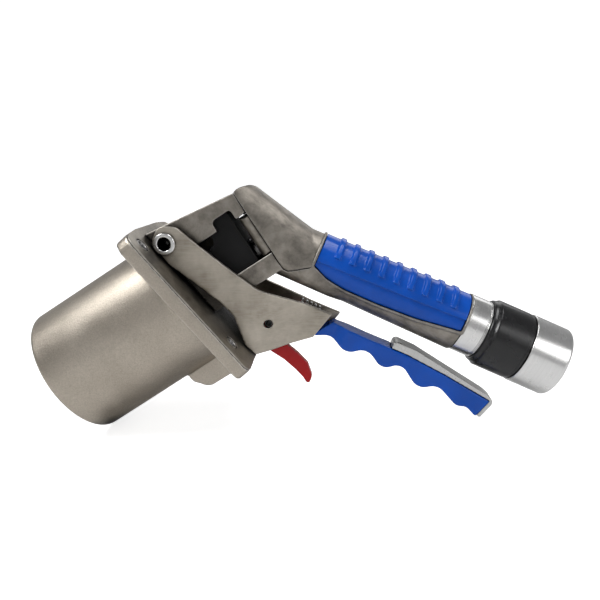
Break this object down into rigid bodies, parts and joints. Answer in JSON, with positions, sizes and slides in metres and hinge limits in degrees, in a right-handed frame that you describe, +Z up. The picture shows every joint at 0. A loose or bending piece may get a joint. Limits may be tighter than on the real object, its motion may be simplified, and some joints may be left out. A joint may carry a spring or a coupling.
{
  "type": "autogas filling nozzle",
  "caption": "Hand-held autogas filling nozzle with a bell-shaped coupler shroud, a squeeze lever with a latch trigger, a ribbed handle grip and a swivelling hose end.",
  "frame": {"origin": "centre of the bounding box's base, on the floor plane that the bell rim's lowest point touches", "axes": "+Z up as pictured, +X from the bell towards the hose end, Y = 0 the tool's plane of symmetry"},
  "size_m": [0.35, 0.092, 0.1609],
  "materials": {
    "blasted_cast": "sand-blasted cast aluminium",
    "dark_cast": "tumbled dark cast aluminium",
    "yoke_cast": "blasted and hand-polished cast aluminium",
    "polished_steel": "polished steel",
    "turned_steel": "turned steel",
    "spring_steel": "bright spring wire",
    "brass_valve": "turned brass",
    "blue_plastic": "moulded gloss plastic, blue",
    "red_plastic": "moulded gloss plastic, red",
    "black_plastic": "moulded semi-gloss plastic, black",
    "slider_plastic": "matt black acetal",
    "seal_rubber": "satin nitrile rubber"
  },
  "bodies": {
    "body": {"bell_shroud": "blasted_cast", "back_plate": "yoke_cast", "flange_screw_1": "polished_steel", "flange_screw_2": "polished_steel", "flange_screw_3": "polished_steel", "flange_screw_4": "polished_steel", "body_screw_1": "turned_steel", "body_screw_2": "turned_steel", "body_screw_3": "turned_steel", "body_screw_4": "turned_steel", "main_casting": "dark_cast", "dome_cover": "dark_cast", "collar": "dark_cast", "handle_grip": "blue_plastic", "steel_ring": "polished_steel", "swivel_sleeve": "black_plastic", "swivel_spigot": "turned_steel", "swivel_o_ring": "seal_rubber", "pivot_bolt_near": "polished_steel", "pivot_bolt_far": "polished_steel", "pivot_washer_near": "turned_steel", "pivot_washer_far": "turned_steel", "stem_tube": "turned_steel", "nose_seal": "seal_rubber", "claw_carrier": "turned_steel", "claw_pin_1": "turned_steel", "claw_pin_2": "turned_steel", "claw_pin_3": "turned_steel", "valve_seat": "brass_valve", "valve_spring": "spring_steel"},
    "lever": {"yoke": "yoke_cast", "drive_pin": "turned_steel", "latch_pin": "turned_steel", "lever_blade": "polished_steel", "lever_grip": "blue_plastic", "latch_spring": "spring_steel"},
    "latch": {"latch_trigger": "red_plastic"},
    "slider": {"drive_slider": "slider_plastic", "pull_rod_near": "turned_steel", "pull_rod_far": "turned_steel", "cam_sleeve": "turned_steel", "return_spring": "spring_steel"},
    "poppet": {"valve_poppet": "brass_valve"},
    "claw_a": {"claw_1": "polished_steel"},
    "claw_b": {"claw_2": "polished_steel"},
    "claw_c": {"claw_3": "polished_steel"},
    "hose_swivel": {"hose_end": "polished_steel", "hose_gasket": "seal_rubber"}
  },
  "joints": [
    {"name": "lever_hinge", "type": "hinge", "parent": "body", "child": "lever", "pos_m": [-0.08079, 0, 0.12617], "axis": [0, -1, 0], "range_deg": [0, 2.5], "stiffness_Nm_per_rad": 8, "springref_deg": -6.88},
    {"name": "latch_hinge", "type": "hinge", "parent": "lever", "child": "latch", "pos_m": [-0.01807, 0, 0.0746], "axis": [0, -1, 0], "range_deg": [0, 12], "stiffness_Nm_per_rad": 0.25, "springref_deg": -17.19},
    {"name": "slider_slide", "type": "slide", "parent": "body", "child": "slider", "axis": [0.8363, 0, 0.5483], "range_m": [0, 0.0012]},
    {"name": "poppet_slide", "type": "slide", "parent": "body", "child": "poppet", "axis": [0.8363, 0, 0.5483], "range_m": [0, 0.0012]},
    {"name": "hose_swivel_turn", "type": "hinge", "parent": "body", "child": "hose_swivel", "pos_m": [0.15463, 0, 0.05345], "axis": [0.9187, 0, -0.3951], "continuous": true},
    {"name": "claw_a_hinge", "type": "hinge", "parent": "body", "child": "claw_a", "pos_m": [-0.10853, 0, 0.09424], "axis": [0, -1, 0], "range_deg": [0, 2.7]},
    {"name": "claw_b_hinge", "type": "hinge", "parent": "body", "child": "claw_b", "pos_m": [-0.08797, -0.02165, 0.06288], "axis": [0.4748, 0.5, -0.7242], "range_deg": [0, 2.7]},
    {"name": "claw_c_hinge", "type": "hinge", "parent": "body", "child": "claw_c", "pos_m": [-0.08797, 0.02165, 0.06288], "axis": [-0.4748, 0.5, 0.7242], "range_deg": [0, 2.7]}
  ],
  "couplings": [
    {"joint": "slider_slide", "follows": "lever_hinge", "m_per_rad": 0.0255},
    {"joint": "poppet_slide", "follows": "lever_hinge", "m_per_rad": 0.0255},
    {"joint": "claw_a_hinge", "follows": "lever_hinge", "ratio": 1},
    {"joint": "claw_b_hinge", "follows": "lever_hinge", "ratio": 1},
    {"joint": "claw_c_hinge", "follows": "lever_hinge", "ratio": 1}
  ]
}
